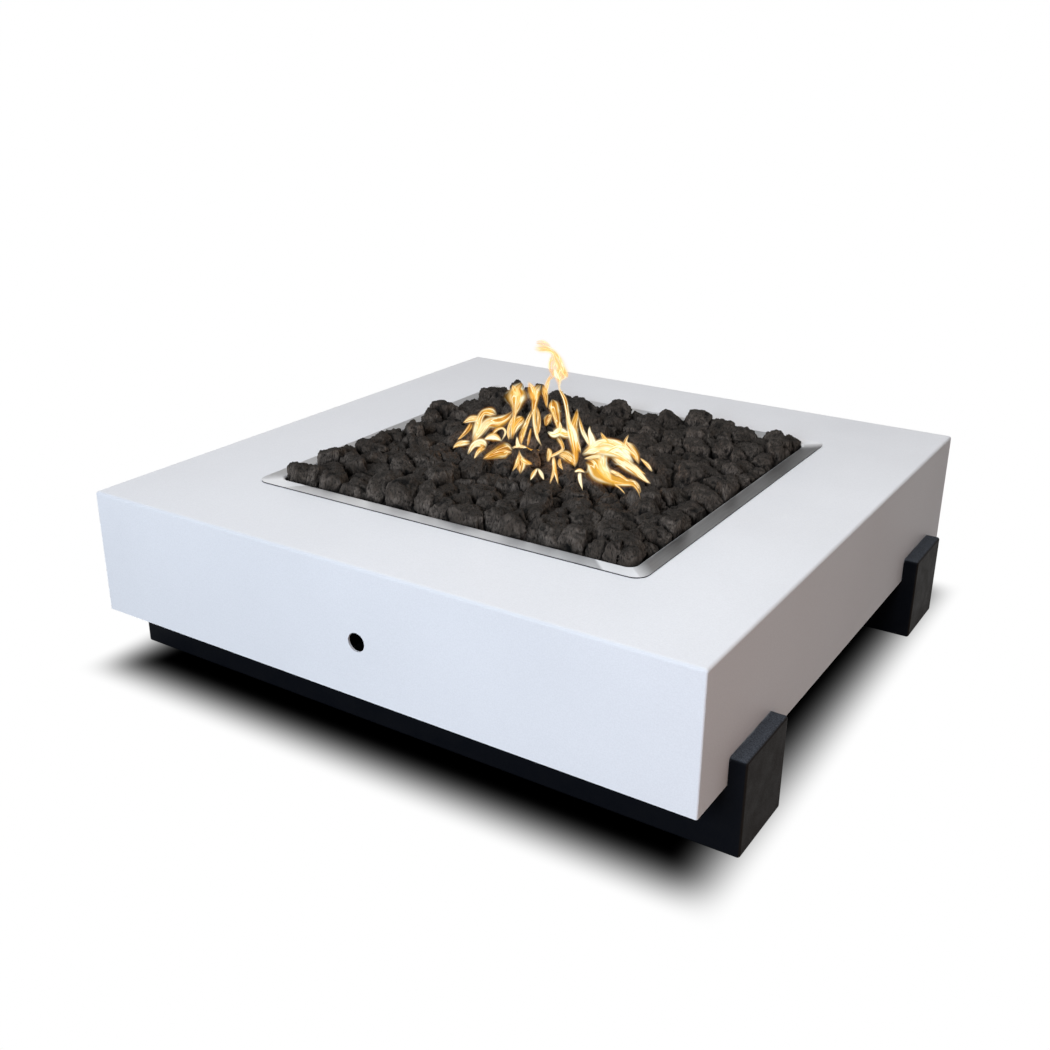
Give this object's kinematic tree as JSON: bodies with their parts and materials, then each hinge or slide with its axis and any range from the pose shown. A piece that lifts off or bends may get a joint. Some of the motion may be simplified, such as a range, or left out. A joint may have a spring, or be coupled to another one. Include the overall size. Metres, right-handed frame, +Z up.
{
  "type": "square gas fire pit table",
  "caption": "Low square white metal fire pit on two black cradles, with a stainless drop-in tray of lava stones over a ring burner and a key-operated gas valve.",
  "frame": {"origin": "on the floor, under the middle of the square body", "axes": "+X to the right along the front, -Y out of the front panel with the key hole, +Z up"},
  "size_m": [0.9574, 0.9144, 0.2983],
  "materials": {
    "white_paint": "fine textured white powder coat",
    "black_paint": "black powder coat, scuffed along the edges",
    "zinc": "zinc-plated steel",
    "brass": "machined brass",
    "chrome": "polished plating",
    "seat_plastic": "white sealing plastic",
    "seal_rubber": "black seal rubber",
    "hose_steel": "corrugated stainless hose",
    "stainless": "brushed stainless sheet",
    "burner_steel": "stainless tube, heat-tinted",
    "black_iron": "black malleable iron",
    "fibre": "red fibre",
    "lava": "rough porous lava, dark brown-grey"
  },
  "bodies": {
    "table": {"top_panel": "white_paint", "front_panel": "white_paint", "rear_panel": "white_paint", "left_panel": "white_paint", "right_panel": "white_paint", "base_frame": "white_paint", "cutout_frame": "white_paint", "front_cradle_beam": "black_paint", "front_cradle_uprights": "black_paint", "rear_cradle_beam": "black_paint", "rear_cradle_uprights": "black_paint", "cradle_bolts": "zinc", "cradle_washers": "zinc", "cradle_weld_nuts": "zinc", "valve_body": "brass", "valve_seats": "seat_plastic", "valve_caps": "brass", "neck_locknut": "brass", "valve_bracket": "black_paint", "bracket_studs": "zinc", "bracket_nuts": "zinc", "inlet_elbow": "brass", "valve_flare_fittings": "brass", "valve_hose_nut": "brass", "gas_hose": "hose_steel"},
    "key_stem": {"valve_stem": "brass", "valve_ball": "chrome", "stem_seals": "seal_rubber"},
    "tray": {"burner_tray": "stainless", "outer_burner_ring": "burner_steel", "inner_burner_ring": "burner_steel", "burner_hub_and_arms": "burner_steel", "burner_standoffs": "burner_steel", "inlet_nipple": "black_iron", "fibre_washers": "fibre", "bulkhead_locknuts": "black_iron", "tray_elbow": "black_iron", "tray_flare_fitting": "brass", "tray_hose_nut": "brass", "lower_lava_stones": "lava", "upper_lava_stones": "lava"}
  },
  "joints": [
    {"name": "tray_lift", "type": "slide", "parent": "table", "child": "tray", "axis": [0, 0, 1], "range_m": [0, 0.15], "deforming": ["gas_hose"]},
    {"name": "key_turn", "type": "hinge", "parent": "table", "child": "key_stem", "pos_m": [0, -0.3702, 0.167], "axis": [0, 1, 0], "range_deg": [0, 90]}
  ]
}
